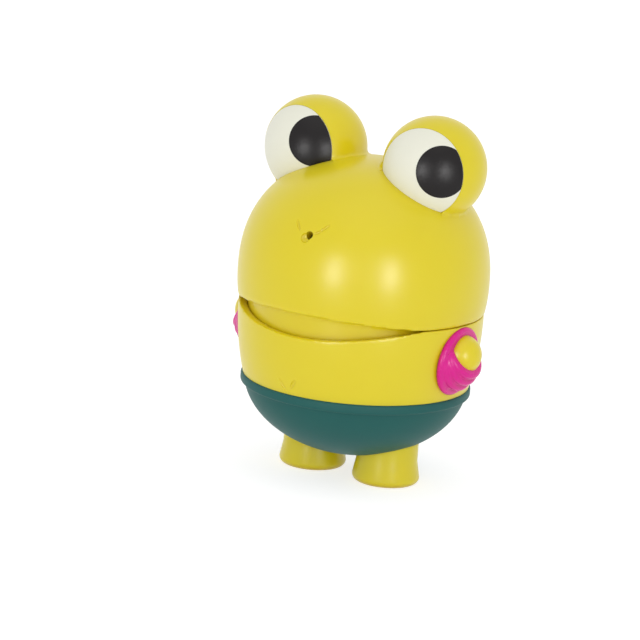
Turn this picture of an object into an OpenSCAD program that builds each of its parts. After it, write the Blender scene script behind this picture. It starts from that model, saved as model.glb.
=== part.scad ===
// Squeezy bath frog.
// Two hollow soft vinyl mouldings, head and body, plug together at the mouth line.
// The origin is on the body's axis at the level of the soles. The frog looks along -Y,
// its own left hand is on +X, and +Z is up.

/* [Feet] */
// Radius of a foot at its widest
foot_r = 7.6; // [6:0.1:8.5]
// Radius of a foot where it meets the shorts
ankle_r = 6.9; // [5:0.1:7.4]
// Distance between the centres of the two feet
foot_spacing = 19.6; // [18:0.1:24]
// Rounding of the edge of the sole
sole_round = 0.9; // [0.6:0.1:2.4]
// Height of the shorts' lowest point above the soles
leg_h = 5.1; // [4:0.1:9]

/* [Shorts] */
// Depth of the rounded bottom, from the top edge of the waistband
bowl_depth = 17.1; // [14:0.1:20]
// Height of the raised waistband
band_h = 2.2; // [1.4:0.1:3.4]
// How far the waistband stands out past the torso
band_proud = 0.4; // [0.2:0.05:1]
// How far the shorts step in under the waistband
band_step = 0.7; // [0.3:0.05:1.2]
// Rounding of the waistband's two edges
band_round = 0.5; // [0.2:0.05:0.6]
// Depth of the rebate in the waistband that the torso stands in
rebate_h = 1.6; // [0.8:0.1:2]

/* [Torso] */
// Outer radius of the torso at the waist
waist_r = 25.5; // [23:0.1:26.5]
// Outer radius of the torso at the mouth line
rim_r = 27.5; // [26.9:0.05:28]
// How far the torso's side bows out between waist and mouth line
torso_bow = 0.6; // [0.1:0.05:1]
// Height of the torso, from the waistband's top edge to the mouth line
torso_h = 17; // [16.5:0.1:26]
// Wall of the vinyl mouldings
wall = 2.2; // [1.6:0.1:2.6]

/* [Neck joint] */
// Wall of the torso's collar, outside the neck
collar_wall = 1.7; // [1.4:0.05:2.2]
// Wall of the neck
neck_wall = 1.8; // [1.2:0.1:2.4]
// Depth of the collar that takes the neck
collar_depth = 9.5; // [7:0.1:11]
// Radial clearance between the neck and the collar
neck_clear = 0.3; // [0.1:0.05:0.4]
// Open line between head and torso
seam_gap = 0.3; // [0.1:0.05:0.6]
// Chamfer that softens both edges of the open line
seam_chamfer = 0.4; // [0.1:0.05:0.6]
// Width of the key that keeps the halves of the mouth in line
key_w = 4; // [2:0.1:7]
// Height of the key
key_h = 6; // [3:0.1:6.5]

/* [Head] */
// How far the head's widest part stands out past the torso's rim
cheek_proud = 0.7; // [0.3:0.05:2]
// Height of the widest part above the mouth line
cheek_h = 6.8; // [4:0.1:10]
// Height over which the cheeks would close in downwards
jowl_h = 26; // [18:0.5:40]
// Height of the crown above the mouth line
head_h = 33.2; // [28:0.1:38]
// Fullness of the crown's curve, where 2 is an ellipse
head_share = 2.25; // [2:0.05:2.8]

/* [Smile] */
// Width of the open mouth, seen from the front, as a share of the torso's rim
smile_share = 0.887; // [0.65:0.001:0.92]
// Rise of the upper lip at the front
upper_lip = 1.9; // [0.8:0.1:3]
// Dip of the lower lip at the front
lower_lip = 3.5; // [1.5:0.1:5]

/* [Eyes] */
// Radius of an eye ball
eye_r = 11.6; // [9:0.1:12.6]
// Distance of an eye's centre from the middle of the face, as a share of the head's radius
eye_out_share = 0.553; // [0.5:0.001:0.6]
// Distance of an eye's centre behind the body's axis
eye_back = 0.8; // [-2:0.1:4]
// Height of an eye's centre above the mouth line
eye_up = 33.2; // [30:0.1:36]
// Thickness of the white of an eye
white_t = 0.8; // [0.5:0.05:1.2]
// Thickness of a pupil
pupil_t = 0.4; // [0.2:0.05:0.45]
// Half angle of the white of an eye
white_angle = 57; // [45:1:62]
// Half angle of a pupil
pupil_angle = 30; // [20:1:36]

/* [Squirt hole] */
// Radius of the hole that the water comes out of
squirt_r = 0.9; // [0.5:0.05:1.4]
// Height of the hole above the mouth line
squirt_up = 19.2; // [14:0.1:22]
// Upward slope of the hole
squirt_tilt = 24; // [0:1:40]
// Turn of the hole from the middle of the face towards the frog's left
squirt_turn = 2.5; // [-4:0.5:4]

/* [Arms] */
// Radius of a hand
hand_r = 4; // [3.4:0.1:4.4]
// How far the centre of a hand stands outside the torso's side
hand_out = 0.6; // [0:0.1:2]
// Height of the centre of a hand above the waistband
hand_up = 10; // [9.5:0.1:11]
// How far the arms stand in front of the body's axis
arm_forward = 0.9; // [0:0.1:3]

/* [Arm bands] */
// Number of puffed rings
ring_count = 3; // [2:1:4]
// Radius of the ring against the torso
ring_r = 7.4; // [6.8:0.05:7.6]
// Radius of the ring at the hand
ring_end_r = 5.9; // [5.4:0.05:6.4]
// Half the thickness of a puffed ring
ring_puff = 1.7; // [1.4:0.05:2]
// Height of the first ring's centre above the waistband
band_up = 7.9; // [7.6:0.1:8.4]
// Depth of the first ring's centre inside the torso's side
band_depth = 1; // [0.6:0.05:1.3]
// Downward slope of the first ring
band_droop = 9; // [0:1:15]
// Upward slope of the last ring, which opens the rings like a fan
band_tilt = 38; // [20:1:42]
// Height of the hand's centre above the last ring's
hand_rise = 1.4; // [0.8:0.1:1.8]

/* [Squeaker] */
// Radius of the squeaker's case
case_r = 7.6; // [7.2:0.05:8.4]
// Wall of the case
case_wall = 0.9; // [0.6:0.05:1.2]
// Height of the case
case_h = 5.6; // [5.2:0.1:7]
// Radius of the case's spout
spout_r = 2.6; // [2.2:0.05:3]
// Radius of the air hole in the spout
air_r = 1.4; // [0.8:0.05:1.6]
// Wall of the socket that holds the case
socket_wall = 1.6; // [1:0.1:2.4]
// Height of the socket above its floor
socket_h = 4.4; // [3:0.1:5]
// Clearance round pieces that are pressed in
press_clear = 0.05; // [0.02:0.01:0.1]
// Thickness of the reed plate
plate_t = 0.8; // [0.5:0.05:1]
// Length of the reed's free blade
reed_len = 7; // [5:0.1:7.6]
// Width of the reed
reed_w = 2.2; // [1.6:0.1:3]
// Thickness of the reed
reed_t = 0.25; // [0.15:0.01:0.35]
// Thickness of the cap
cap_t = 0.8; // [0.5:0.05:1]
// Number of air holes in the cap
cap_holes = 6; // [4:1:8]
// Radius of an air hole in the cap
cap_hole_r = 0.7; // [0.4:0.05:0.9]
// Circle that the cap's holes lie on, as a share of the cap's radius
cap_circle_share = 0.66; // [0.5:0.01:0.72]

/* [Hidden] */
$fn = 96;

yellow = [0.90, 0.82, 0.26];
teal = [0.20, 0.37, 0.36];
magenta = [0.85, 0.18, 0.55];
ivory = [0.92, 0.91, 0.85];
black = [0.17, 0.14, 0.13];
milky = [0.86, 0.87, 0.85];
film = [0.75, 0.80, 0.86];

// One overrun for all cuts
over = 1;
// Corners along a quarter of a rounded profile
quarter_steps = 14;
// Fullness of the shorts' curve, where 2 is an ellipse
bowl_share = 1.95;
// Corners along the head's side under its widest part
jowl_steps = 3;
// Corners along the torso's side
side_steps = 6;
// Corners along half of a puffed ring
ring_steps = 3;

waist_z = leg_h + bowl_depth;
seam_z = waist_z + torso_h;
torso_top = torso_h - seam_gap;
neck_z = seam_z - collar_depth;
cheek_z = seam_z + cheek_h;
bowl_r = waist_r + band_proud - band_step;
collar_r = rim_r - collar_wall;
neck_r = collar_r - neck_clear;
neck_in_r = neck_r - neck_wall;
head_r = rim_r + cheek_proud;
eye_out = head_r * eye_out_share;
smile_half_w = rim_r * smile_share;

// Turn of each white and each pupil away from straight ahead, towards the frog's left,
// and its tilt upwards
right_white_aim = [-6, 1];
left_white_aim = [7, 0];
right_pupil_aim = [30, 16.5];
left_pupil_aim = [39.5, 6.5];

// Squeaker levels, from the floor of its socket upwards
socket_floor_z = leg_h + wall + press_clear;
case_floor_t = case_wall;
plate_z = socket_floor_z + 2 * case_floor_t;
reed_z = plate_z + plate_t + press_clear;
cap_z = socket_floor_z + case_h - cap_t;
plate_r = case_r - case_wall - press_clear;
ledge_w = case_wall;
clamp_len = reed_w;
reed_root_x = -reed_len / 2;

// Points of a quarter of a rounded profile, from its widest part to the axis
function quarter(r, h, share, steps) =
    [for (i = [0:steps]) let (a = 90 * i / steps)
        [r * pow(cos(a), 2 / share), h * pow(sin(a), 2 / share)]];

// Radius of the same profile at one height
function quarter_r(r, h, share, z) = r * pow(1 - pow(z / h, share), 1 / share);

function lifted(points, z) = [for (p = points) [p[0], p[1] + z]];
function dropped(points, z) = [for (p = points) [p[0], z - p[1]]];
function reversed(points) = [for (i = [len(points) - 1:-1:0]) points[i]];

// Outer radius of the torso at a height above the waist
function torso_r(h) =
    let (t = h / torso_h) waist_r + (rim_r - waist_r) * t + 4 * torso_bow * t * (1 - t);

hand_x = torso_r(hand_up) + hand_out;

// Outer radius of the head under its widest part, at a depth below it
function jowl_r(d) = quarter_r(head_r, jowl_h, head_share, d);

// Points an object at a turn and a tilt from straight ahead
module aim(angles) {
    rotate([0, 0, angles[0]]) rotate([90 - angles[1], 0, 0]) children();
}

module at_eye(side) {
    translate([side * eye_out, eye_back, seam_z + eye_up]) children();
}

// The lens shape of the open mouth, cut through the front
module smile() {
    upper_r = (pow(smile_half_w, 2) + pow(upper_lip, 2)) / (2 * upper_lip);
    lower_r = (pow(smile_half_w, 2) + pow(lower_lip, 2)) / (2 * lower_lip);
    depth = head_r + over;
    intersection() {
        translate([0, 0, seam_z + upper_lip - upper_r])
            rotate([90, 0, 0]) cylinder(r = upper_r, h = depth);
        translate([0, 0, seam_z - lower_lip + lower_r])
            rotate([90, 0, 0]) cylinder(r = lower_r, h = depth);
    }
}

// Solid outline of the head without its eyes
module dome() {
    foot_of_dome = jowl_r(cheek_h);
    lower = [for (i = [1:jowl_steps]) let (d = cheek_h * (1 - i / jowl_steps)) [jowl_r(d), cheek_z - d]];
    upper = lifted(quarter(head_r, head_h - cheek_h, head_share, quarter_steps), cheek_z);
    rotate_extrude() polygon(concat(
        [[0, seam_z], [foot_of_dome - seam_chamfer, seam_z], [foot_of_dome, seam_z + seam_chamfer]],
        lower, [for (i = [1:len(upper) - 1]) upper[i]]));
}

// Room inside the head, open at the neck
module head_room() {
    shoulder_z = seam_z + upper_lip + neck_wall;
    inner_r = head_r - wall;
    upper = lifted(quarter(inner_r, head_h - cheek_h - wall, head_share, quarter_steps), cheek_z);
    rotate_extrude() polygon(concat(
        [[0, neck_z - over], [neck_in_r, neck_z - over], [neck_in_r, shoulder_z]], upper));
    for (side = [-1, 1]) at_eye(side) sphere(r = eye_r - wall);
}

// Part of an eye ball inside a cone, from its skin, or past it, down to a depth
module eye_cap(angles, half_angle, depth, past = 0) {
    difference() {
        intersection() {
            sphere(r = eye_r + past);
            aim(angles) cylinder(r1 = 0, r2 = 2 * eye_r * tan(half_angle), h = 2 * eye_r);
        }
        sphere(r = eye_r - depth);
    }
}

module eye_white_blank(side, angles, past = 0) {
    difference() {
        at_eye(side) eye_cap(angles, white_angle, white_t, past);
        dome();
    }
}

module eye_white(side, white_aim, pupil_aim) {
    difference() {
        eye_white_blank(side, white_aim);
        at_eye(side) eye_cap(pupil_aim, pupil_angle, pupil_t, over);
    }
}

module pupil_blank(side, white_aim, angles) {
    difference() {
        intersection() {
            at_eye(side) eye_cap(angles, pupil_angle, pupil_t);
            at_eye(side) eye_cap(white_aim, white_angle, white_t);
        }
        dome();
    }
}

module head_shell() {
    squirt_skin_r = quarter_r(head_r, head_h - cheek_h, head_share, squirt_up - cheek_h);
    color(yellow) difference() {
        union() {
            difference() {
                dome();
                smile();
            }
            for (side = [-1, 1]) at_eye(side) sphere(r = eye_r);
            translate([0, 0, neck_z]) cylinder(r = neck_r, h = collar_depth + upper_lip + neck_wall);
        }
        head_room();
        eye_white_blank(-1, right_white_aim, over);
        eye_white_blank(1, left_white_aim, over);
        rotate([0, 0, squirt_turn]) translate([0, -squirt_skin_r, seam_z + squirt_up])
            aim([0, squirt_tilt]) cylinder(r = squirt_r, h = 4 * wall, center = true);
        translate([-key_w / 2 - neck_clear, neck_in_r - over, neck_z - over])
            cube([key_w + 2 * neck_clear, neck_wall + 2 * over, key_h + neck_clear + over]);
    }
}

module right_eye_white() { color(ivory) eye_white(-1, right_white_aim, right_pupil_aim); }

module left_eye_white() { color(ivory) eye_white(1, left_white_aim, left_pupil_aim); }

module right_pupil() { color(black) pupil_blank(-1, right_white_aim, right_pupil_aim); }

module left_pupil() { color(black) pupil_blank(1, left_white_aim, left_pupil_aim); }

// Side of the torso's outline, from the floor of the waistband's rebate up to the chamfer
function torso_side() = concat([[0, waist_z - rebate_h], [waist_r, waist_z - rebate_h]],
    [for (i = [0:side_steps]) let (h = (torso_top - seam_chamfer) * i / side_steps)
        [torso_r(h), waist_z + h]]);

// Solid outline of the torso
module torso_blank() {
    rotate_extrude() polygon(concat(torso_side(), [
        [torso_r(torso_top) - seam_chamfer, waist_z + torso_top], [0, waist_z + torso_top]]));
}

// The same outline carried on past the mouth line, which trims what sits on the torso's side
module torso_trim() {
    rotate_extrude() polygon(concat(torso_side(), [[rim_r, seam_z + over], [0, seam_z + over]]));
}

module torso_shell() {
    lower_r = waist_r - wall;
    upper_r = torso_r(neck_z - waist_z) - wall;
    color(yellow) {
        difference() {
            torso_blank();
            rotate_extrude() polygon([
                [0, waist_z - rebate_h - over], [lower_r, waist_z - rebate_h - over], [lower_r, waist_z],
                [upper_r, neck_z], [collar_r, neck_z], [collar_r, seam_z + over], [0, seam_z + over]]);
            smile();
        }
        key();
    }
}

// Key on the inside of the torso's collar, at the back
module key() {
    inner_r = neck_in_r + neck_clear;
    root_r = collar_r + seam_chamfer;
    intersection() {
        translate([-key_w / 2, 0, neck_z]) cube([key_w, rim_r, key_h]);
        difference() {
            translate([0, 0, neck_z]) cylinder(r = root_r, h = key_h);
            translate([0, 0, neck_z - over]) cylinder(r = inner_r, h = key_h + 2 * over);
        }
    }
}

// Solid outline of the shorts up to the waistband's top edge
module shorts_blank() {
    curve = reversed(quarter(bowl_r, bowl_depth, bowl_share, quarter_steps));
    band_z = waist_z - band_h;
    band_r = waist_r + band_proud;
    below = [for (p = curve) if (p[1] > band_h + band_round) p];
    rotate_extrude() polygon(concat(dropped(below, waist_z), [
        [quarter_r(bowl_r, bowl_depth, bowl_share, band_h), band_z],
        [band_r - band_round, band_z], [band_r, band_z + band_round],
        [band_r, waist_z - band_round], [band_r - band_round, waist_z], [0, waist_z]]));
}

// Room inside the shorts, above the squeaker's socket
module shorts_room() {
    curve = reversed(quarter(bowl_r - wall, bowl_depth - wall, bowl_share, quarter_steps));
    rotate_extrude() polygon(concat(dropped(curve, waist_z), [
        [bowl_r - wall, waist_z - rebate_h], [waist_r, waist_z - rebate_h], [waist_r, waist_z + over],
        [0, waist_z + over]]));
}

module shorts_shell() {
    socket_r = case_r + press_clear;
    color(teal) difference() {
        union() {
            difference() {
                shorts_blank();
                shorts_room();
            }
            intersection() {
                shorts_blank();
                translate([0, 0, leg_h]) cylinder(r = socket_r + socket_wall, h = wall + socket_h);
            }
        }
        translate([0, 0, socket_floor_z]) cylinder(r = socket_r, h = bowl_depth);
        translate([0, 0, leg_h - over]) cylinder(r = spout_r + press_clear, h = wall + 2 * over);
    }
}

// Round hand at the end of the stub arm, with its pole pointing outwards
module hand_blank(side) {
    translate([side * hand_x, -arm_forward, waist_z + hand_up])
        rotate([0, side * 90, 0]) sphere(r = hand_r);
}

module arm(side) {
    color(yellow) difference() {
        hand_blank(side);
        torso_trim();
    }
}

// Flat disc with a puffed rim
module puffed_disc(r) {
    rim = [for (i = [-ring_steps:ring_steps]) let (a = 90 * i / ring_steps)
        [r - ring_puff * (1 - cos(a)), ring_puff * sin(a)]];
    rotate_extrude() polygon(concat([[0, -ring_puff]], rim, [[0, ring_puff]]));
}

// Puffed rings that fan out from the torso's side to the hand
module arm_band(side) {
    first = [torso_r(band_up) - band_depth, waist_z + band_up];
    last = [hand_x, waist_z + hand_up - hand_rise];
    color(magenta) difference() {
        union() for (i = [0:ring_count - 1]) {
            t = i / (ring_count - 1);
            place = first + (last - first) * t;
            slope = (band_droop + band_tilt) * t - band_droop;
            translate([side * place[0], -arm_forward, place[1]])
                rotate([0, side * (90 - slope), 0]) puffed_disc(ring_r + (ring_end_r - ring_r) * t);
        }
        hand_blank(side);
        torso_trim();
    }
}

module right_arm() { arm(-1); }
module left_arm() { arm(1); }
module right_arm_band() { arm_band(-1); }
module left_arm_band() { arm_band(1); }

module foot(side) {
    top = waist_z - band_h;
    color(yellow) difference() {
        translate([side * foot_spacing / 2, 0, 0]) rotate_extrude() union() {
            polygon([[0, 0], [foot_r - sole_round, 0], [foot_r, sole_round], [ankle_r, leg_h],
                     [ankle_r, top], [0, top]]);
            translate([foot_r - sole_round, sole_round]) circle(r = sole_round);
        }
        shorts_blank();
    }
}

module right_foot() { foot(-1); }
module left_foot() { foot(1); }

module squeaker_case() {
    color(milky) translate([0, 0, socket_floor_z]) difference() {
        union() {
            cylinder(r = case_r, h = case_h);
            translate([0, 0, -wall]) cylinder(r = spout_r, h = wall + case_floor_t);
        }
        translate([0, 0, case_floor_t]) cylinder(r = plate_r - ledge_w, h = case_h);
        translate([0, 0, plate_z - socket_floor_z]) cylinder(r = plate_r + press_clear, h = case_h);
        translate([0, 0, -wall - over]) cylinder(r = air_r, h = wall + case_floor_t + 2 * over);
    }
}

// Disc with a slot that the reed beats over, and the block that holds the reed's root
module squeaker_reed_plate() {
    slot_w = reed_w - 2 * reed_t;
    color(ivory) difference() {
        translate([0, 0, plate_z]) union() {
            cylinder(r = plate_r, h = plate_t);
            translate([reed_root_x - press_clear - clamp_len / 2, -reed_w, 0])
                cube([clamp_len / 2, 2 * reed_w, 2 * plate_t]);
        }
        translate([reed_root_x + plate_t, -slot_w / 2, plate_z - over])
            cube([reed_len - 2 * plate_t, slot_w, plate_t + 2 * over]);
    }
}

module squeaker_reed() {
    color(film) translate([reed_root_x, -reed_w / 2, reed_z]) cube([reed_len, reed_w, reed_t]);
}

module squeaker_cap() {
    color(milky) translate([0, 0, cap_z]) difference() {
        cylinder(r = plate_r, h = cap_t);
        for (i = [0:cap_holes - 1]) rotate([0, 0, 360 * i / cap_holes])
            translate([plate_r * cap_circle_share, 0, -over]) cylinder(r = cap_hole_r, h = cap_t + 2 * over);
    }
}

head_shell();
right_eye_white();
left_eye_white();
right_pupil();
left_pupil();
torso_shell();
shorts_shell();
right_arm();
left_arm();
right_arm_band();
left_arm_band();
right_foot();
left_foot();
squeaker_case();
squeaker_reed_plate();
squeaker_reed();
squeaker_cap();
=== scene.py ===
"""Squeezy bath frog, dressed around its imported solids.

Every piece is modelled in millimetres on the frog's own axes: the origin is between the soles,
the frog looks along -Y, its own left hand is on +X, and +Z is up. A finished piece is brought to
metres, and its place is in its mesh.
"""

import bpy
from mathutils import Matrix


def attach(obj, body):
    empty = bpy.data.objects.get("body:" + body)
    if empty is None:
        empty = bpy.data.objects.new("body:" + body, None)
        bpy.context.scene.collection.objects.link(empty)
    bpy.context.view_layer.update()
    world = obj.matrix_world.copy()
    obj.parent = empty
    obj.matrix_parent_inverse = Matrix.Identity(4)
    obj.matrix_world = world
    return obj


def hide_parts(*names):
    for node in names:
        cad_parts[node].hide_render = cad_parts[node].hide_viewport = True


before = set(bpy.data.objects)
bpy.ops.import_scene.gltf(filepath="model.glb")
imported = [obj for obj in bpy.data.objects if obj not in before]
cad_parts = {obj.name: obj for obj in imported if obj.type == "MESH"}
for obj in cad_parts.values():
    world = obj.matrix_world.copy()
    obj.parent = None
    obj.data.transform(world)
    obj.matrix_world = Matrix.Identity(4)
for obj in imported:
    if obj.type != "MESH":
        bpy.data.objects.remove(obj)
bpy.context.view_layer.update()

import logging
import math
from dataclasses import dataclass, field
from enum import Enum
from typing import Callable, Iterable, Sequence

import bpy
from mathutils import Euler, Matrix, Vector

LOG = logging.getLogger("bath_frog")
MM = 0.001

Point = tuple[float, float]
Colour = tuple[float, float, float]
Stroke = tuple[float, float, float, float]


class Side(Enum):
    """The frog's own right and left, by the sign of X."""

    RIGHT = -1
    LEFT = 1

    @property
    def label(self) -> str:
        """Word that starts the names of this side's pieces."""
        return self.name.lower()


class Body(Enum):
    """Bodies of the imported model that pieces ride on."""

    TORSO = "torso"
    HEAD = "head"


class Cut(Enum):
    """Ways in which one solid changes another."""

    JOIN = "UNION"
    REMOVE = "DIFFERENCE"
    KEEP = "INTERSECT"


# ---------------------------------------------------------------- Finishes

NOISE_ENDS = (0.1, 0.9)
WEAR = 0.03
MOTTLE_DETAIL = 4.0
SKIN_DETAIL = 2.0
SKIN_HEIGHT = 0.0002
GLOW_SPREAD = (1.0, 0.75, 0.25)
# Painted shade mask: no shade where this share of the sky round a point is open, full shade where only the
# next share is open, and the mask's rays per point.
UNSHADED_SKY = 0.85
FULL_SHADE_SKY = 0.25
SHADE_MASK_RAYS = 12
MIX_A, MIX_B, MIX_OUT = 6, 7, 2


def linear(colour: Colour) -> tuple[float, float, float, float]:
    """Turns a screen colour into the linear one that shaders take.

    Args:
        colour: red, green and blue on the screen, from 0 to 1.

    Returns:
        The same colour in linear light, with full alpha.
    """
    parts = [c / 12.92 if c <= 0.04045 else ((c + 0.055) / 1.055) ** 2.4 for c in colour]
    return (parts[0], parts[1], parts[2], 1.0)


@dataclass(frozen=True)
class Vinyl:
    """Soft vinyl with a satin skin: a faint mottle, a fine grain, uneven gloss and, where a shade colour is
    given, painted shade in creases, pits and seams.
    """

    name: str
    colour: Colour
    deep: Colour
    slot: str
    roughness: float = 0.42
    grain: float = 0.05
    grain_scale: float = 2600.0
    mottle_scale: float = 160.0
    glow: float = 0.0
    glow_depth: float = 0.0015
    level: float = 0.22
    # Painted shade colour that creases, pits and seams darken towards, None for no painted shade; the reach
    # after it is how far the shade mask looks.
    fold: Colour | None = None
    crease_shade_reach: float = 0.0022

    def material(self) -> bpy.types.Material:
        """Builds the node material, or gives the one already built.

        Returns:
            The material, with colour, roughness and bump from its nodes.
        """
        found = bpy.data.materials.get(self.name)
        if found is not None:
            return found
        made = bpy.data.materials.new(self.name)
        made.use_nodes = True
        nodes, links = made.node_tree.nodes, made.node_tree.links
        shader = nodes["Principled BSDF"]
        place = nodes.new("ShaderNodeTexCoord")
        mottle = nodes.new("ShaderNodeTexNoise")
        mottle.inputs["Scale"].default_value = self.mottle_scale
        mottle.inputs["Detail"].default_value = MOTTLE_DETAIL
        tint = nodes.new("ShaderNodeValToRGB")
        for stop, at, colour in zip(tint.color_ramp.elements, NOISE_ENDS, (self.deep, self.colour)):
            stop.position = at
            stop.color = linear(colour)
        wear = nodes.new("ShaderNodeMapRange")
        wear.inputs["From Min"].default_value, wear.inputs["From Max"].default_value = NOISE_ENDS
        wear.inputs["To Min"].default_value = self.roughness - WEAR
        wear.inputs["To Max"].default_value = self.roughness + WEAR
        skin = nodes.new("ShaderNodeTexNoise")
        skin.inputs["Scale"].default_value = self.grain_scale
        skin.inputs["Detail"].default_value = SKIN_DETAIL
        bump = nodes.new("ShaderNodeBump")
        bump.inputs["Strength"].default_value = self.grain
        bump.inputs["Distance"].default_value = SKIN_HEIGHT
        links.new(place.outputs["Object"], mottle.inputs["Vector"])
        links.new(place.outputs["Object"], skin.inputs["Vector"])
        links.new(mottle.outputs["Fac"], tint.inputs["Fac"])
        links.new(mottle.outputs["Fac"], wear.inputs["Value"])
        links.new(skin.outputs["Fac"], bump.inputs["Height"])
        # Painted shade: with a shade colour, the base colour darkens in creases, pits and seams.
        shade = tint.outputs["Color"] if self.fold is None else self.paint_crease_shade(made.node_tree, tint)
        links.new(shade, shader.inputs["Base Color"])
        links.new(wear.outputs["Result"], shader.inputs["Roughness"])
        links.new(bump.outputs["Normal"], shader.inputs["Normal"])
        shader.inputs["Specular IOR Level"].default_value = self.level
        if self.glow > 0:
            shader.inputs["Subsurface Weight"].default_value = self.glow
            shader.inputs["Subsurface Radius"].default_value = GLOW_SPREAD
            shader.inputs["Subsurface Scale"].default_value = self.glow_depth
        return made

    def paint_crease_shade(self, tree: bpy.types.NodeTree, tint: bpy.types.Node) -> bpy.types.NodeSocket:
        """Paints shade into creases, pits and seams, where the vinyl would shade itself, by darkening the
        colour under an occlusion mask.

        Args:
            tree: the material's node tree.
            tint: the node that gives the open surface's colour.

        Returns:
            The socket with the colour and its painted shade.
        """
        # Occlusion mask that decides where shade is painted.
        shade_mask_sky = tree.nodes.new("ShaderNodeAmbientOcclusion")
        shade_mask_sky.samples = SHADE_MASK_RAYS
        shade_mask_sky.inputs["Distance"].default_value = self.crease_shade_reach
        depth = tree.nodes.new("ShaderNodeMapRange")
        depth.inputs["From Min"].default_value = UNSHADED_SKY
        depth.inputs["From Max"].default_value = FULL_SHADE_SKY
        painted_shade_mix = tree.nodes.new("ShaderNodeMix")
        painted_shade_mix.data_type = "RGBA"
        painted_shade_mix.inputs[MIX_B].default_value = linear(self.fold)
        tree.links.new(shade_mask_sky.outputs["AO"], depth.inputs["Value"])
        tree.links.new(depth.outputs["Result"], painted_shade_mix.inputs[0])
        tree.links.new(tint.outputs["Color"], painted_shade_mix.inputs[MIX_A])
        return painted_shade_mix.outputs[MIX_OUT]


# The last colour of the yellow, teal and magenta finishes is their painted shade colour for creases, pits
# and seams.
YELLOW = Vinyl(
    "soft_yellow", (0.902, 0.830, 0.110), (0.896, 0.822, 0.095), "yellow_vinyl", roughness=0.30, glow=0.25,
    level=0.46, fold=(0.820, 0.725, 0.040))
TEAL = Vinyl(
    "soft_teal", (0.155, 0.380, 0.367), (0.145, 0.366, 0.353), "teal_vinyl", roughness=0.48, grain=0.08,
    level=0.14, fold=(0.120, 0.315, 0.300))
MAGENTA = Vinyl(
    "soft_magenta", (0.88, 0.06, 0.57), (0.87, 0.05, 0.56), "magenta_vinyl", roughness=0.27, level=0.35,
    fold=(0.74, 0.03, 0.46))
IVORY = Vinyl("soft_ivory", (0.945, 0.943, 0.880), (0.940, 0.938, 0.874), "ivory_vinyl", roughness=0.42)
BLACK = Vinyl(
    "satin_black", (0.050, 0.022, 0.026), (0.040, 0.016, 0.019), "black_paint", roughness=0.30, grain=0.18,
    grain_scale=5200.0, mottle_scale=900.0, level=0.30)
MILKY = Vinyl("milky_plastic", (0.86, 0.87, 0.85), (0.84, 0.85, 0.83), "squeaker_plastic", roughness=0.5)
FILM = Vinyl("clear_film", (0.75, 0.80, 0.86), (0.72, 0.77, 0.84), "reed_film", roughness=0.25, grain=0.02)


# ---------------------------------------------------------------- Workbench

BALL_STEPS = 128
TURN_STEPS = 160
SMOOTHING = 0.5
TINY = 0.0005
SLOPE_STEP = 0.1


def clear_selection() -> None:
    """Leaves edit mode and deselects everything."""
    if bpy.context.object is not None and bpy.context.object.mode != "OBJECT":
        bpy.ops.object.mode_set(mode="OBJECT")
    bpy.ops.object.select_all(action="DESELECT")


def pick(piece: bpy.types.Object) -> None:
    """Selects one object alone and makes it active.

    Args:
        piece: the object to select.
    """
    clear_selection()
    piece.select_set(True)
    bpy.context.view_layer.objects.active = piece


def edit(piece: bpy.types.Object) -> None:
    """Opens one object in edit mode with all of it selected.

    Args:
        piece: the object to open.
    """
    pick(piece)
    bpy.ops.object.mode_set(mode="EDIT")
    bpy.ops.mesh.select_all(action="SELECT")


def settle(piece: bpy.types.Object) -> None:
    """Puts an object's turn, scale and place into its mesh."""
    pick(piece)
    bpy.ops.object.transform_apply(location=True, rotation=True, scale=True)


def apply_modifier(piece: bpy.types.Object, kind: str, **settings: object) -> None:
    """Adds one modifier and applies it at once.

    Args:
        piece: the object to change.
        kind: Blender's name for the modifier.
        settings: values of the modifier's own fields.
    """
    pick(piece)
    modifier = piece.modifiers.new(kind.lower(), kind)
    for name, value in settings.items():
        setattr(modifier, name, value)
    bpy.ops.object.modifier_apply(modifier=modifier.name)


def carve(piece: bpy.types.Object, tool: bpy.types.Object, cut: Cut, keep_tool: bool = False) -> None:
    """Joins a second solid to a first, or cuts the first with it.

    Args:
        piece: the solid that changes.
        tool: the solid that changes it.
        cut: what the second solid does to the first.
        keep_tool: whether the second solid stays for later use.
    """
    apply_modifier(piece, "BOOLEAN", object=tool, operation=cut.value, solver="EXACT")
    if not keep_tool:
        bpy.data.objects.remove(tool, do_unlink=True)


def soften(piece: bpy.types.Object, voxel: float, rounds: int) -> None:
    """Melts a solid's pieces into one skin and rounds its edges.

    Args:
        piece: the solid to change.
        voxel: size of the new skin's cells.
        rounds: how often the skin is smoothed.
    """
    apply_modifier(piece, "REMESH", mode="VOXEL", voxel_size=voxel, adaptivity=0.0)
    if rounds:
        apply_modifier(piece, "SMOOTH", factor=SMOOTHING, iterations=rounds)


def lathe(name: str, outline: Sequence[Point], steps: int = TURN_STEPS) -> bpy.types.Object:
    """Turns an outline round the Z axis.

    Args:
        name: name of the new object.
        outline: radius and height of each corner, from one end on the axis to the other, or all
            the way round when the last corner is the first.
        steps: number of steps in the full turn.

    Returns:
        The turned solid, closed and facing outwards.
    """
    clear_selection()
    bpy.ops.mesh.primitive_plane_add(size=1.0)
    solid = bpy.context.object
    solid.name = name
    edit(solid)
    bpy.ops.mesh.merge(type="CENTER")
    bpy.ops.transform.translate(value=(outline[0][0], 0.0, outline[0][1]))
    for here, there in zip(outline, outline[1:]):
        step = (there[0] - here[0], 0.0, there[1] - here[1])
        bpy.ops.mesh.extrude_region_move(TRANSFORM_OT_translate={"value": step})
    bpy.ops.mesh.select_all(action="SELECT")
    bpy.ops.mesh.spin(steps=steps, angle=2 * math.pi, center=(0, 0, 0), axis=(0, 0, 1))
    bpy.ops.mesh.select_all(action="SELECT")
    bpy.ops.mesh.remove_doubles(threshold=TINY)
    bpy.ops.mesh.normals_make_consistent(inside=False)
    clear_selection()
    return solid


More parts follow.
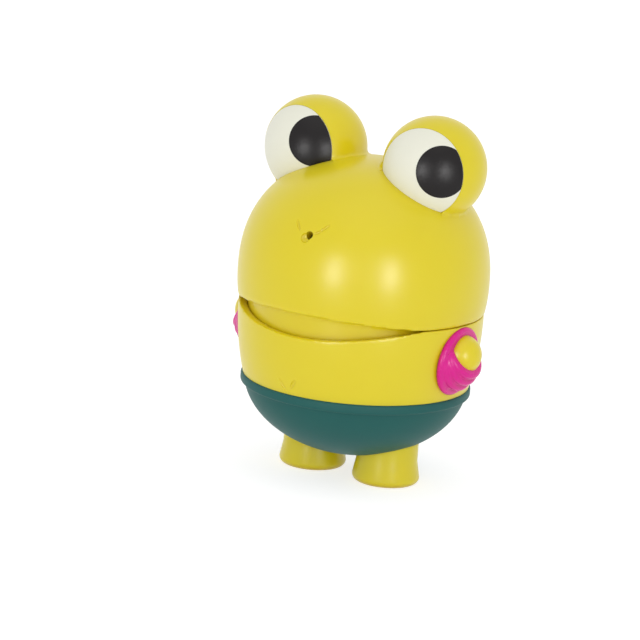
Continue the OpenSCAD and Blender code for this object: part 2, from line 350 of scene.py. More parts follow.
def ball(name: str, radius: float, place: Vector, stretch: Vector | None = None,
         turn: Euler | None = None) -> bpy.types.Object:
    """Adds a fine ball, which may be stretched and turned.

    Args:
        name: name of the new object.
        radius: its radius.
        place: its centre.
        stretch: how far it is stretched along its own X, Y and Z.
        turn: how it is turned after the stretch.

    Returns:
        The ball, with its place in its mesh.
    """
    clear_selection()
    bpy.ops.mesh.primitive_uv_sphere_add(segments=BALL_STEPS, ring_count=BALL_STEPS // 2, radius=radius,
                                         location=place, rotation=turn if turn is not None else (0, 0, 0))
    solid = bpy.context.object
    solid.name = name
    if stretch is not None:
        solid.scale = stretch
    settle(solid)
    return solid


def rod(name: str, radius: float, start: Vector, end: Vector, corners: int = 96) -> bpy.types.Object:
    """Adds a round rod between two points.

    Args:
        name: name of the new object.
        radius: its radius.
        start: the centre of one end.
        end: the centre of the other end.
        corners: number of corners round it.

    Returns:
        The rod, with its place in its mesh.
    """
    clear_selection()
    along = end - start
    turn = along.to_track_quat("Z", "Y").to_euler()
    bpy.ops.mesh.primitive_cylinder_add(vertices=corners, radius=radius, depth=along.length,
                                        location=(start + end) / 2, rotation=turn)
    solid = bpy.context.object
    solid.name = name
    settle(solid)
    return solid


def groove(radius_at: Callable[[float], float], stroke: Stroke, half_w: float,
           depth: float) -> bpy.types.Object:
    """Long thin ball that lies in a turned surface and carves a crease with fading ends.

    Args:
        radius_at: radius of the turned surface at a height.
        stroke: turn and height of one end, then of the other end.
        half_w: half the crease's width.
        depth: its depth in the middle.

    Returns:
        The tool that carves the crease.
    """

    def spot(turn: float, z: float) -> Vector:
        """Point of the surface at a turn and a height."""
        return heading(turn, 0) * radius_at(z) + Vector((0, 0, z))

    start, end = spot(stroke[0], stroke[1]), spot(stroke[2], stroke[3])
    turn, z = (stroke[0] + stroke[2]) / 2, (stroke[1] + stroke[3]) / 2
    slope = (radius_at(z - SLOPE_STEP) - radius_at(z + SLOPE_STEP)) / (2 * SLOPE_STEP)
    normal = (heading(turn, 0) + Vector((0, 0, slope))).normalized()
    along = (end - start).normalized()
    across = normal.cross(along).normalized()
    axes = Matrix((along, across, along.cross(across))).transposed()
    reach = (end - start).length / 2
    return ball("groove", 1.0, spot(turn, z), Vector((reach, half_w, depth)), axes.to_euler())


def heading(turn: float, tilt: float) -> Vector:
    """Direction at a turn from straight ahead towards the frog's left, and a tilt upwards.

    Args:
        turn: degrees towards the frog's own left.
        tilt: degrees upwards.

    Returns:
        The direction, one unit long.
    """
    a, e = math.radians(turn), math.radians(tilt)
    return Vector((math.sin(a) * math.cos(e), -math.cos(a) * math.cos(e), math.sin(e)))


def hand_over(piece: bpy.types.Object, name: str, body: Body, finish: Vinyl, nodes: Iterable[str],
              crease: float = 35.0) -> bpy.types.Object:
    """Brings a finished piece to metres, dresses it and hangs it on its body.

    Args:
        piece: the finished solid, in millimetres.
        name: the piece's name.
        body: the body it rides on.
        finish: its finish.
        nodes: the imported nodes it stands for.
        crease: edges sharper than this many degrees stay sharp.

    Returns:
        The same object, ready to show.
    """
    piece.name = name
    piece.data.name = name
    piece.scale = (MM, MM, MM)
    settle(piece)
    bpy.ops.object.shade_smooth_by_angle(angle=math.radians(crease))
    piece.data.materials.clear()
    piece.data.materials.append(finish.material())
    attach(piece, body.value)
    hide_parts(*nodes)
    LOG.info("%s: %d faces", name, len(piece.data.polygons))
    return piece


# ---------------------------------------------------------------- Outlines


@dataclass(frozen=True)
class Outline:
    """Levels and radii that the mouldings share."""

    leg_h: float = 5.1
    waist_z: float = 22.2
    seam_z: float = 39.2
    waist_r: float = 25.5
    rim_r: float = 27.5
    bow: float = 0.6
    bowl_r: float = 25.2
    bowl_share: float = 1.95
    head_r: float = 28.2
    cheek_z: float = 46.0
    jowl_h: float = 26.0
    head_share: float = 2.25
    crown_z: float = 72.4
    neck_z: float = 29.7
    collar_r: float = 25.55
    neck_r: float = 25.5
    neck_in_r: float = 23.7
    wall: float = 2.2
    rebate_h: float = 1.6
    smile_half_w: float = 24.4
    upper_lip: float = 1.9
    lower_lip: float = 3.5
    lip_margin: float = 2.0
    upper_corners: int = 1440
    lower_corners: int = 720

    def torso_r(self, z: float) -> float:
        """Radius of the torso's side at a height."""
        t = (z - self.waist_z) / (self.seam_z - self.waist_z)
        return self.waist_r + (self.rim_r - self.waist_r) * t + 4 * self.bow * t * (1 - t)

    def dome_r(self, z: float) -> float:
        """Radius of the head at a height above its widest part."""
        t = (z - self.cheek_z) / (self.crown_z - self.cheek_z)
        return self.head_r * (1 - t**self.head_share) ** (1 / self.head_share)

    def bowl_points(self, inset: float, steps: int = 40) -> list[Point]:
        """Side of the shorts' bowl from the axis up to the waist, moved inwards.

        Args:
            inset: how far the side is moved inwards.
            steps: number of steps.

        Returns:
            Radius and height of each corner, from the axis upwards.
        """
        r, h = self.bowl_r - inset, self.waist_z - self.leg_h - inset
        made = []
        for i in range(steps + 1):
            a = math.radians(90 * (1 - i / steps))
            made.append((r * math.cos(a) ** (2 / self.bowl_share) if i else 0.0,
                         self.waist_z - h * math.sin(a) ** (2 / self.bowl_share)))
        return made

    def dome_points(self, inset: float = 0.0, steps: int = 48) -> list[Point]:
        """Side of the head from its widest part up to the crown, moved inwards.

        Args:
            inset: how far the side is moved inwards.
            steps: number of steps.

        Returns:
            Radius and height of each corner, from the widest part upwards.
        """
        r, h = self.head_r - inset, self.crown_z - self.cheek_z - inset
        made = []
        for i in range(steps + 1):
            a = math.radians(90 * i / steps)
            made.append((r * math.cos(a) ** (2 / self.head_share) if i < steps else 0.0,
                         self.cheek_z + h * math.sin(a) ** (2 / self.head_share)))
        return made

    def jowl_points(self, steps: int = 8) -> list[Point]:
        """Side of the head from the mouth line up to its widest part, which isn't repeated.

        Args:
            steps: number of steps.

        Returns:
            Radius and height of each corner, from the mouth line upwards.
        """
        deep = self.cheek_z - self.seam_z
        made = []
        for i in range(steps):
            d = deep * (1 - i / steps)
            made.append((self.head_r * (1 - (d / self.jowl_h) ** self.head_share) ** (1 / self.head_share),
                         self.cheek_z - d))
        return made

    def dome(self, name: str) -> bpy.types.Object:
        """Solid outline of the head without its eyes."""
        return lathe(name, [(0.0, self.seam_z), *self.jowl_points(), *self.dome_points()])

    def smile(self, name: str) -> bpy.types.Object:
        """Lens of the open mouth, which is cut through the front of head and torso.

        Args:
            name: name of the new object.

        Returns:
            The lens, as deep as the head's radius.
        """
        depth = self.head_r + self.lip_margin
        rise, dip, half = self.upper_lip, self.lower_lip, self.smile_half_w
        upper_r = (half**2 + rise**2) / (2 * rise)
        lower_r = (half**2 + dip**2) / (2 * dip)
        upper_z = self.seam_z + rise - upper_r
        lower_z = self.seam_z - dip + lower_r
        top, bottom, reach = Vector((0, 0, upper_z)), Vector((0, 0, lower_z)), Vector((0, depth, 0))
        lens = rod(name, upper_r, top, top - reach, corners=self.upper_corners)
        lower = rod("lower_lip", lower_r, bottom, bottom - reach, corners=self.lower_corners)
        carve(lens, lower, Cut.KEEP)
        return lens


# ---------------------------------------------------------------- Head


@dataclass
class Eye:
    """One bulging eye: the ball, its white and its pupil."""

    side: Side
    white_aim: tuple[float, float]
    pupil_aim: tuple[float, float]
    radius: float = 11.6
    out: float = 15.5946
    back: float = 0.8
    height: float = 72.4
    white_t: float = 0.8
    pupil_t: float = 0.4
    white_angle: float = 57.0
    pupil_angle: float = 29.5
    recess: float = 0.07
    gap: float = 0.06
    proud: float = 0.05
    spare: float = 1.0
    bevel: float = 0.1
    bevel_steps: int = 2
    sharp: float = 50.0

    @property
    def centre(self) -> Vector:
        """Centre of the eye ball."""
        return Vector((self.side.value * self.out, self.back, self.height))

    def cap(self, name: str, aim: tuple[float, float], half_angle: float, outer: float,
            depth: float) -> bpy.types.Object:
        """Part of the ball's skin inside a cone, with a wall.

        Args:
            name: name of the new object.
            aim: turn and tilt of the cone.
            half_angle: half the cone's angle.
            outer: radius of the outer skin.
            depth: thickness of the wall.

        Returns:
            The closed cap.
        """
        direction = heading(*aim)
        turn = direction.to_track_quat("Z", "Y").to_euler()
        solid = ball(name, outer, self.centre, turn=turn)
        edit(solid)
        cut = self.centre + direction * (outer * math.cos(math.radians(half_angle)))
        bpy.ops.mesh.bisect(plane_co=cut, plane_no=direction, clear_inner=True)
        clear_selection()
        apply_modifier(solid, "SOLIDIFY", thickness=depth, offset=-1.0, use_even_offset=True)
        return solid

    def pocket(self) -> bpy.types.Object:
        """Room in the eye ball that the white sits in, open to the outside."""
        return self.cap("pocket", self.white_aim, self.white_angle, self.radius + self.spare,
                        self.white_t + self.spare)

    def white(self, dome: bpy.types.Object, finish: Vinyl) -> bpy.types.Object:
        """Builds and dresses the white.

        Args:
            dome: the head's solid outline, which trims the white's lower edge.
            finish: the white's finish.

        Returns:
            The finished white.
        """
        outer = self.radius - self.recess
        edge_angle = self.white_angle - math.degrees(self.gap / self.radius)
        solid = self.cap("white", self.white_aim, edge_angle, outer, self.white_t - self.recess)
        carve(solid, dome, Cut.REMOVE, keep_tool=True)
        apply_modifier(solid, "BEVEL", width=self.bevel, segments=self.bevel_steps, limit_method="ANGLE",
                       angle_limit=math.radians(self.sharp))
        return hand_over(solid, f"{self.side.label}_eye_white_piece", Body.HEAD, finish,
                         [f"{self.side.label}_eye_white"])

    def pupil(self, dome: bpy.types.Object, finish: Vinyl) -> bpy.types.Object:
        """Builds and dresses the pupil, clipped by the hood's edge.

        Args:
            dome: the head's solid outline, which trims the pupil's lower edge.
            finish: the pupil's finish.

        Returns:
            The finished pupil.
        """
        outer = self.radius - self.recess + self.proud
        solid = self.cap("pupil", self.pupil_aim, self.pupil_angle, outer, self.pupil_t)
        edge_angle = self.white_angle - math.degrees(2 * self.gap / self.radius)
        room = self.cap("room", self.white_aim, edge_angle, outer + self.spare / 2, 2 * self.spare)
        carve(solid, room, Cut.KEEP)
        carve(solid, dome, Cut.REMOVE, keep_tool=True)
        name = f"{self.side.label}_pupil"
        return hand_over(solid, f"{name}_piece", Body.HEAD, finish, [name])


@dataclass
class HeadMoulding:
    """The head: dome, two eye balls and the neck that plugs into the torso, hollow inside."""

    outline: Outline
    eyes: tuple[Eye, Eye]
    skin: float = 0.47
    fold_rounds: int = 5
    lid: float = 1.8
    squirt_r: float = 0.9
    squirt_z: float = 58.4
    squirt_turn: float = 2.5
    squirt_tilt: float = 24.0
    dimple_r: float = 1.15
    dimple_turn: float = 0.9
    dimple_z: float = 57.7
    dimple_depth: float = 0.75
    creases: tuple[Stroke, ...] = ((-7.6, 61.0, -3.2, 58.9), (4.9, 58.7, 8.6, 59.6), (7.6, 59.3, 12.0, 61.1))
    crease_w: float = 0.38
    crease_depth: float = 0.3
    fold_depth: float = 0.9
    fold_h: float = 0.55
    overrun: float = 1.0
    squirt_corners: int = 48
    neck_corners: int = 160
    room_steps: int = 96

    @property
    def shoulder_z(self) -> float:
        """Height at which the neck ends inside the head."""
        return self.outline.seam_z + self.outline.upper_lip + self.lid

    def outer(self) -> bpy.types.Object:
        """Joins dome, eye balls and neck, with soft folds where they meet.

        Returns:
            The head as a full solid.
        """
        o = self.outline
        solid = o.dome("head")
        for eye in self.eyes:
            carve(solid, ball("eye_ball", eye.radius, eye.centre), Cut.JOIN)
        carve(solid, o.smile("smile"), Cut.REMOVE)
        foot, top = Vector((0, 0, o.neck_z)), Vector((0, 0, self.shoulder_z))
        carve(solid, rod("neck", o.neck_r, foot, top, corners=self.neck_corners), Cut.JOIN)
        carve(solid, self.lip_fold(), Cut.REMOVE)
        soften(solid, self.skin, self.fold_rounds)
        return solid

    def lip_fold(self) -> bpy.types.Object:
        """Tool for the fold under the upper lip, where the neck dips in below the face.

        Returns:
            A thin crescent just under the lip, open towards the front.
        """
        o = self.outline
        fold = o.smile("fold")
        lower = o.smile("lower_edge")
        lower.location = (0.0, 0.0, -self.fold_h)
        settle(lower)
        carve(fold, lower, Cut.REMOVE)
        core = rod("core", o.neck_r - self.fold_depth, Vector((0, 0, o.neck_z)), Vector((0, 0, o.cheek_z)))
        carve(fold, core, Cut.REMOVE)
        return fold

    def room(self) -> bpy.types.Object:
        """Hollow of the head, open at the neck.

        Returns:
            The room as a solid.
        """
        o = self.outline
        low = o.neck_z - self.overrun
        points = [(0.0, low), (o.neck_in_r, low), (o.neck_in_r, self.shoulder_z), *o.dome_points(o.wall)]
        solid = lathe("room", points, steps=self.room_steps)
        for eye in self.eyes:
            carve(solid, ball("eye_room", eye.radius - o.wall, eye.centre), Cut.JOIN)
        return solid

    def nose(self) -> list[bpy.types.Object]:
        """Tools for the dimple, the squirt hole in it and the short creases beside it.

        Returns:
            The tools, in the order in which they cut.
        """
        o = self.outline
        along = heading(self.squirt_turn, self.squirt_tilt)
        face = heading(self.squirt_turn, 0) * o.dome_r(self.squirt_z) + Vector((0, 0, self.squirt_z))
        reach = along * 2 * o.wall
        hole = rod("squirt_hole", self.squirt_r, face - reach, face + reach, corners=self.squirt_corners)
        rim = heading(self.dimple_turn, 0) * o.dome_r(self.dimple_z) + Vector((0, 0, self.dimple_z))
        deep = Vector((1.0, 1.0, self.dimple_depth / self.dimple_r))
        dimple = ball("dimple", self.dimple_r, rim, deep, along.to_track_quat("Z", "Y").to_euler())
        creases = (groove(o.dome_r, stroke, self.crease_w, self.crease_depth) for stroke in self.creases)
        return [dimple, hole, *creases]

    def build(self, finish: Vinyl) -> bpy.types.Object:
        """Builds and dresses the head.

        Args:
            finish: the head's finish.

        Returns:
            The finished head.
        """
        solid = self.outer()
        for tool in (self.room(), *self.nose()):
            carve(solid, tool, Cut.REMOVE)
        dome = self.outline.dome("dome")
        for eye in self.eyes:
            pocket = eye.pocket()
            carve(pocket, dome, Cut.REMOVE, keep_tool=True)
            carve(solid, pocket, Cut.REMOVE)
        bpy.data.objects.remove(dome, do_unlink=True)
        return hand_over(solid, "head_moulding", Body.HEAD, finish, ["head_shell"])


# ---------------------------------------------------------------- Torso and shorts


@dataclass
class TorsoMoulding:
    """The torso: a short tub whose front edge dips as the lower lip."""

    outline: Outline
    skin: float = 0.32
    lip_rounds: int = 3
    top_gap: float = 0.04
    fit: float = 0.05
    foot_round: float = 0.35
    side_steps: int = 16
    mark: tuple[Stroke, ...] = ((-8.3, 25.6, -4.5, 23.0), (1.4, 25.9, -1.6, 23.6))
    mark_w: float = 0.45
    mark_depth: float = 0.3

    def build(self, finish: Vinyl) -> bpy.types.Object:
        """Builds and dresses the torso.

        Args:
            finish: the torso's finish.

        Returns:
            The finished torso.
        """
        o = self.outline
        foot, top = o.waist_z - o.rebate_h, o.seam_z - self.top_gap
        low = o.waist_z + self.foot_round
        heights = [low + (top - low) * i / self.side_steps for i in range(self.side_steps + 1)]
        side = [(o.torso_r(z), z) for z in heights]
        inner = o.waist_r - o.wall
        upper = o.torso_r(o.neck_z) - o.wall
        tongue = o.waist_r - self.fit
        loop = [(inner, foot), (tongue, foot), (tongue, o.waist_z - self.fit),
                (o.waist_r - self.foot_round, o.waist_z), *side, (o.collar_r, top), (o.collar_r, o.neck_z),
                (upper, o.neck_z), (inner, o.waist_z), (inner, foot)]
        solid = lathe("torso", loop)
        carve(solid, o.smile("smile"), Cut.REMOVE)
        soften(solid, self.skin, self.lip_rounds)
        for stroke in self.mark:
            carve(solid, groove(o.torso_r, stroke, self.mark_w, self.mark_depth), Cut.REMOVE)
        return hand_over(solid, "torso_moulding", Body.TORSO, finish, ["torso_shell"])


@dataclass
class Shorts:
    """The shorts: a bowl with a raised waistband, a socket in its floor and the spout's hole."""

    outline: Outline
    band_h: float = 2.2
    band_r: float = 25.9
    band_round: float = 0.6
    band_foot: float = 0.15
    spout_rim: float = 0.3
    join: float = 0.1
    socket_r: float = 7.65
    socket_wall: float = 1.6
    socket_floor_z: float = 7.35
    socket_top_z: float = 11.7
    spout_hole_r: float = 2.65
    turn_steps: int = 192

    def arc(self, r: float, z: float, start: float, steps: int = 6) -> list[Point]:
        """Quarter of the waistband's rounded edge.

        Args:
            r: radius of the arc's centre.
            z: height of the arc's centre.
            start: angle at which the quarter starts, in degrees.
            steps: number of steps.

        Returns:
            Radius and height of each corner.
        """
        turns = [math.radians(start + 90 * i / steps) for i in range(steps + 1)]
        return [(r + self.band_round * math.cos(a), z + self.band_round * math.sin(a)) for a in turns]

    def build(self, finish: Vinyl) -> bpy.types.Object:
        """Builds and dresses the shorts.

        Args:
            finish: the shorts' finish.

        Returns:
            The finished shorts.
        """
        o = self.outline
        band_z = o.waist_z - self.band_h
        ledge_z = o.waist_z - o.rebate_h
        socket_out = self.socket_r + self.socket_wall
        bowl = [(r, z) for r, z in o.bowl_points(0.0)
                if r > self.spout_hole_r + self.spout_rim and z < band_z - self.join]
        inside = [(r, z) for r, z in reversed(o.bowl_points(o.wall)) if r > socket_out and z < ledge_z]
        edge = self.band_r - self.band_round
        loop = [(self.spout_hole_r, bowl[0][1]), *bowl, (o.bowl_r - self.band_foot, band_z),
                *self.arc(edge, band_z + self.band_round, -90),
                *self.arc(edge, o.waist_z - self.band_round, 0),
                (o.waist_r, o.waist_z), (o.waist_r, ledge_z), (o.waist_r - o.wall, ledge_z), *inside,
                (socket_out, inside[-1][1]), (socket_out, self.socket_top_z),
                (self.socket_r, self.socket_top_z),
                (self.socket_r, self.socket_floor_z), (self.spout_hole_r, self.socket_floor_z),
                (self.spout_hole_r, bowl[0][1])]
        solid = lathe("shorts", loop, steps=self.turn_steps)
        return hand_over(solid, "shorts", Body.TORSO, finish, ["shorts_shell"])


# ---------------------------------------------------------------- Arms and feet


@dataclass
class Arm:
    """A stub arm with a round hand, and the puffed band round it."""

    outline: Outline
    side: Side
    hand_r: float = 4.5
    hand: tuple[float, float, float] = (27.5, -1.3, 32.8)
    arm_r: float = 3.0
    arm_len: float = 6.0
    ring_r: float = 7.8
    ring_end_r: float = 5.7
    puff: float = 0.85
    first: tuple[float, float, float] = (26.6, -1.3, 31.2)
    last: tuple[float, float, float] = (28.0, -1.3, 32.8)
    droop: float = 6.0
    fan: float = 34.0
    rings: int = 4
    rim_steps: int = 16
    ring_steps: int = 96
    skin: float = 0.2
    band_rounds: int = 2
    sink: float = 0.05
    side_steps: int = 12
    trim_steps: int = 128
    over: float = 1.0

    def place(self, spot: tuple[float, float, float]) -> Vector:
        """A point of the left arm, moved to this arm's side."""
        return Vector((self.side.value * spot[0], spot[1], spot[2]))

    def along(self, tilt: float) -> Vector:
        """Direction away from the body at an upward tilt."""
        a = math.radians(tilt)
        return Vector((self.side.value * math.cos(a), 0.0, math.sin(a)))

    def body_tool(self) -> bpy.types.Object:
        """Solid outline of the torso, which trims what sits on its side.

        Returns:
            The solid, from the foot of the torso to just above the mouth line.
        """
        o = self.outline
        foot, top = o.waist_z - o.rebate_h, o.seam_z
        heights = [foot + (top - foot) * i / self.side_steps for i in range(self.side_steps + 1)]
        side = [(o.torso_r(z) - self.sink, z) for z in heights]
        lid = top + self.over
        return lathe("trim", [(0.0, foot), *side, (side[-1][0], lid), (0.0, lid)], steps=self.trim_steps)

    def hand_solid(self) -> bpy.types.Object:
        """Stub arm and round hand as one solid.

        Returns:
            The arm, which still reaches into the torso.
        """
        hand = self.place(self.hand)
        solid = ball("hand", self.hand_r, hand)
        inner = hand - self.along(0.0) * self.arm_len
        carve(solid, rod("arm", self.arm_r, inner, hand), Cut.JOIN)
        return solid

    def build_hand(self, finish: Vinyl) -> bpy.types.Object:
        """Builds and dresses the arm with its hand.

        Args:
            finish: the arm's finish.

        Returns:
            The finished arm.
        """
        name = f"{self.side.label}_arm"
        solid = self.hand_solid()
        carve(solid, self.body_tool(), Cut.REMOVE)
        return hand_over(solid, f"{name}_piece", Body.TORSO, finish, [name])

    def ring(self, share: float) -> bpy.types.Object:
        """One puffed ring of the band.

        Args:
            share: 0 for the ring on the torso and 1 for the ring at the hand.

        Returns:
            The ring, at its place.
        """
        r = self.ring_r + (self.ring_end_r - self.ring_r) * share
        turns = [math.radians(180 * i / self.rim_steps) for i in range(self.rim_steps + 1)]
        rim = [(r - self.puff + self.puff * math.sin(a), -self.puff * math.cos(a)) for a in turns]
        solid = lathe("ring", [(0.0, -self.puff), *rim, (0.0, self.puff)], steps=self.ring_steps)
        place = self.place(self.first).lerp(self.place(self.last), share)
        slope = (self.droop + self.fan) * share - self.droop
        solid.rotation_euler = self.along(slope).to_track_quat("Z", "Y").to_euler()
        solid.location = place
        settle(solid)
        return solid

    def build_band(self, finish: Vinyl) -> bpy.types.Object:
        """Builds and dresses the band.

        Args:
            finish: the band's finish.

        Returns:
            The finished band.
        """
        solid = self.ring(0.0)
        for i in range(1, self.rings):
            carve(solid, self.ring(i / (self.rings - 1)), Cut.JOIN)
        soften(solid, self.skin, self.band_rounds)
        carve(solid, self.hand_solid(), Cut.REMOVE)
        carve(solid, self.body_tool(), Cut.REMOVE)
        return hand_over(solid, f"{self.side.label}_arm_band_piece", Body.TORSO, finish,
                         [f"{self.side.label}_arm_band"])


@dataclass
class Foot:
    """A short round foot with a flat sole."""

    outline: Outline
    side: Side
    radius: float = 7.6
    ankle_r: float = 6.9
    out: float = 9.8
    sole_round: float = 1.5
    top_z: float = 19.0
    edge_steps: int = 8
    turn_steps: int = 128
    seat: float = 0.1

    def build(self, finish: Vinyl) -> bpy.types.Object:
        """Builds and dresses the foot.

        Args:
            finish: the foot's finish.

        Returns:
            The finished foot.
        """
        o = self.outline
        turns = [math.radians(90 * i / self.edge_steps) for i in range(self.edge_steps + 1)]
        edge = [(self.radius - self.sole_round * (1 - math.sin(a)), self.sole_round * (1 - math.cos(a)))
                for a in turns]
        ankle = [(self.ankle_r, o.leg_h), (self.ankle_r, self.top_z), (0.0, self.top_z)]
        solid = lathe("foot", [(0.0, 0.0), *edge, *ankle], steps=self.turn_steps)
        solid.location = (self.side.value * self.out, 0.0, 0.0)
        settle(solid)
        bowl = lathe("bowl", [*o.bowl_points(self.seat), (0.0, o.waist_z)])
        carve(solid, bowl, Cut.REMOVE)
        name = f"{self.side.label}_foot"
        return hand_over(solid, f"{name}_piece", Body.TORSO, finish, [name])


# ---------------------------------------------------------------- Squeaker


@dataclass(frozen=True)
class Squeaker:
    """The squeaker insert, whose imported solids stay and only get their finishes."""

    finishes: dict[str, Vinyl] = field(default_factory=lambda: {
        "squeaker_case": MILKY, "squeaker_reed_plate": IVORY, "squeaker_cap": MILKY, "squeaker_reed": FILM})

    def dress(self) -> None:
        """Gives each solid its finish."""
        for name, finish in self.finishes.items():
            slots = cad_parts[name].data.materials
            slots.clear()
            slots.append(finish.material())
            LOG.info("%s: dressed", name)


# ---------------------------------------------------------------- Studio


@dataclass
class Studio:
    """Floor, backdrop, soft boxes and the camera at the photograph's angle."""

    azimuth: float = 32.0
    elevation: float = 13.0
    lean: float = 4.3
    distance: float = 0.8
    lens: float = 200.0
    sensor: float = 36.0
    clip: tuple[float, float] = (0.05, 20.0)
    aim: tuple[float, float, float] = (-0.0092, -0.0022, 0.0339)
    floor_tone: float = 0.93
    floor_glow: float = 0.45
    # Painted light: share of the floor's glow that every ray meets, which lights the frog from below.
    floor_uplight_glow: float = 0.12
    glow_strength: float = 1.55
    world_tone: float = 0.75
    strip_power: float = 1.5
    fill_power: float = 1.65
    top_power: float = 0.6
    middle: Vector = field(default_factory=lambda: Vector((0, 0, 0.045)))
    strips: tuple[tuple[str, float, float], ...] = (("left_strip", -27.0, 1.0), ("right_strip", 23.0, 3.0))
    strip_size: tuple[float, float] = (0.12, 0.40)
    strip_reach: float = 0.6
    front_rise: float = 7.0
    front_size: tuple[float, float] = (0.9, 0.7)
    top_rise: float = 70.0
    top_size: tuple[float, float] = (0.9, 0.9)
    box_reach: float = 0.9
    floor_size: float = 8.0
    paper_grain: float = 3.0
    paper_mottle: float = 0.01
    paper_roughness: float = 0.9

    def camera(self) -> bpy.types.Object:
        """Adds the camera, rolled so that the frog leans as it does in the photograph.

        Returns:
            The camera, which is also the scene's.
        """
        clear_selection()
        bpy.ops.object.camera_add()
        camera = bpy.context.object
        camera.name = "camera"
        back = heading(self.azimuth, self.elevation)
        look = (-back).to_track_quat("-Z", "Y")
        roll = Matrix.Rotation(math.radians(self.lean), 4, "Z")
        place = Matrix.Translation(Vector(self.aim) + back * self.distance)
        camera.matrix_world = place @ look.to_matrix().to_4x4() @ roll
        camera.data.lens = self.lens
        camera.data.sensor_width = self.sensor
        camera.data.clip_start, camera.data.clip_end = self.clip
        bpy.context.scene.camera = camera
        return camera

    def soft_box(self, name: str, azimuth: float, elevation: float, reach: float, wide: float, tall: float,
                 power: float) -> bpy.types.Object:
        """Adds one soft box that faces the frog.

        Args:
            name: name of the lamp.
            azimuth: its direction from the frog, round the upright axis.
            elevation: its direction above the floor.
            reach: its distance.
            wide: its width.
            tall: its height.
            power: its power in watts.

        Returns:
            The lamp.
        """
        clear_selection()
        place = self.middle + heading(azimuth, elevation) * reach
        turn = (place - self.middle).to_track_quat("Z", "Y").to_euler()
        bpy.ops.object.light_add(type="AREA", location=place, rotation=turn)
        lamp = bpy.context.object
        lamp.name = name
        lamp.data.shape = "ELLIPSE"
        lamp.data.size = wide
        lamp.data.size_y = tall
        lamp.data.energy = power
        return lamp

    def seen(self, tree: bpy.types.NodeTree) -> bpy.types.NodeSocket:
        """Tells rays that show the background from rays that light the frog.

        Args:
            tree: the node tree that asks.

        Returns:
            A socket that is 1 for camera, glossy and transmission rays.
        """
        path = tree.nodes.new("ShaderNodeLightPath")
        seen = path.outputs["Is Camera Ray"]
        for kind in ("Is Glossy Ray", "Is Transmission Ray"):
            either = tree.nodes.new("ShaderNodeMath")
            either.operation = "MAXIMUM"
            tree.links.new(seen, either.inputs[0])
            tree.links.new(path.outputs[kind], either.inputs[1])
            seen = either.outputs["Value"]
        return seen

    def world(self) -> None:
        """Sets the even fill light and the white background, which only looking rays see."""
        world = bpy.data.worlds.new("studio_world")
        bpy.context.scene.world = world
        world.use_nodes = True
        tree = world.node_tree
        tree.nodes.clear()
        out = tree.nodes.new("ShaderNodeOutputWorld")
        mix = tree.nodes.new("ShaderNodeMixShader")
        for slot, strength in ((1, self.world_tone), (2, 1.0)):
            light = tree.nodes.new("ShaderNodeBackground")
            light.inputs["Color"].default_value = (1, 1, 1, 1)
            light.inputs["Strength"].default_value = strength
            tree.links.new(light.outputs["Background"], mix.inputs[slot])
        tree.links.new(self.seen(tree), mix.inputs["Fac"])
        tree.links.new(mix.outputs["Shader"], out.inputs["Surface"])

    def paper(self) -> bpy.types.Material:
        """Builds the floor's paper, which looks near white, still takes the frog's shadow and glows faintly
        onto the frog, as painted light from below.

        Returns:
            The paper.
        """
        made = bpy.data.materials.new("studio_paper")
        made.use_nodes = True
        tree = made.node_tree
        shader = tree.nodes["Principled BSDF"]
        place = tree.nodes.new("ShaderNodeTexCoord")
        grain = tree.nodes.new("ShaderNodeTexNoise")
        grain.inputs["Scale"].default_value = self.paper_grain
        ramp = tree.nodes.new("ShaderNodeValToRGB")
        tones = (self.floor_tone - self.paper_mottle, self.floor_tone)
        for stop, tone in zip(ramp.color_ramp.elements, tones):
            stop.color = (tone, tone, tone, 1.0)
        tree.links.new(place.outputs["Object"], grain.inputs["Vector"])
        tree.links.new(grain.outputs["Fac"], ramp.inputs["Fac"])
        tree.links.new(ramp.outputs["Color"], shader.inputs["Base Color"])
        shader.inputs["Roughness"].default_value = self.paper_roughness
        glow = tree.nodes.new("ShaderNodeEmission")
        glow.inputs["Strength"].default_value = self.glow_strength
        # The glow's share is the full floor glow for rays that see the floor and a small share for all other
        # rays; that small glow is painted light on the frog from below.
        share = tree.nodes.new("ShaderNodeMath")
        share.operation = "MULTIPLY_ADD"
        share.inputs[1].default_value = self.floor_glow - self.floor_uplight_glow
        share.inputs[2].default_value = self.floor_uplight_glow
        mix = tree.nodes.new("ShaderNodeMixShader")
        tree.links.new(self.seen(tree), share.inputs[0])
        tree.links.new(share.outputs["Value"], mix.inputs["Fac"])
        tree.links.new(shader.outputs["BSDF"], mix.inputs[1])
        tree.links.new(glow.outputs["Emission"], mix.inputs[2])
        tree.links.new(mix.outputs["Shader"], tree.nodes["Material Output"].inputs["Surface"])
        return made

    def floor(self) -> bpy.types.Object:
        """Adds the pale floor, which reaches past the picture's edges.

        Returns:
            The floor.
        """
        clear_selection()
        bpy.ops.mesh.primitive_plane_add(size=self.floor_size, location=(0, 0, 0))
        floor = bpy.context.object
        floor.name = "floor"
        floor.data.materials.append(self.paper())
        return floor

    def build(self) -> None:
        """Sets up the whole studio."""
        bpy.context.scene.view_settings.view_transform = "Standard"
        self.camera()
        self.world()
        self.floor()
        for name, turn, rise in self.strips:
            place = (self.azimuth + turn, rise, self.strip_reach)
            strip = self.soft_box(name, *place, *self.strip_size, self.strip_power)
            strip.visible_diffuse = False
        fill = self.soft_box("front_soft_box", self.azimuth, self.front_rise, self.box_reach,
                             *self.front_size, self.fill_power)
        fill.visible_glossy = False
        self.soft_box("top_soft_box", self.azimuth, self.top_rise, self.box_reach,
                      *self.top_size, self.top_power)
        LOG.info("studio: camera, floor, two strips and two soft boxes")


# ---------------------------------------------------------------- The frog


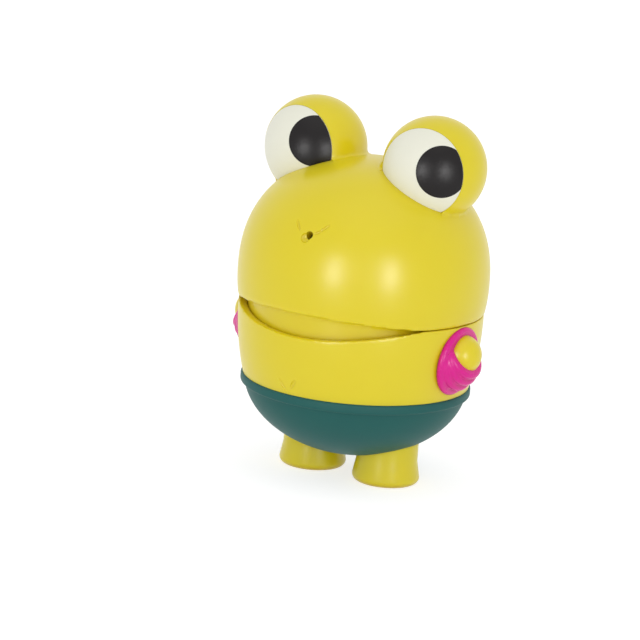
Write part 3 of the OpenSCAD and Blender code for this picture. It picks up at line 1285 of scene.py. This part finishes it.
def main() -> None:
    """Builds the frog piece by piece, then the studio."""
    logging.basicConfig(level=logging.INFO, format="%(name)s %(message)s")
    outline = Outline()
    eyes = (
        Eye(Side.RIGHT, white_aim=(-6, 1), pupil_aim=(30, 16.5)),
        Eye(Side.LEFT, white_aim=(7, 0), pupil_aim=(39.5, 6.5)),
    )
    HeadMoulding(outline, eyes).build(YELLOW)
    dome = outline.dome("dome")
    for eye in eyes:
        eye.white(dome, IVORY)
        eye.pupil(dome, BLACK)
    bpy.data.objects.remove(dome, do_unlink=True)
    TorsoMoulding(outline).build(YELLOW)
    Shorts(outline).build(TEAL)
    for side in Side:
        arm = Arm(outline, side)
        arm.build_hand(YELLOW)
        arm.build_band(MAGENTA)
        Foot(outline, side).build(YELLOW)
    Squeaker().dress()
    Studio().build()
    clear_selection()


if __name__ == "__main__":
    main()
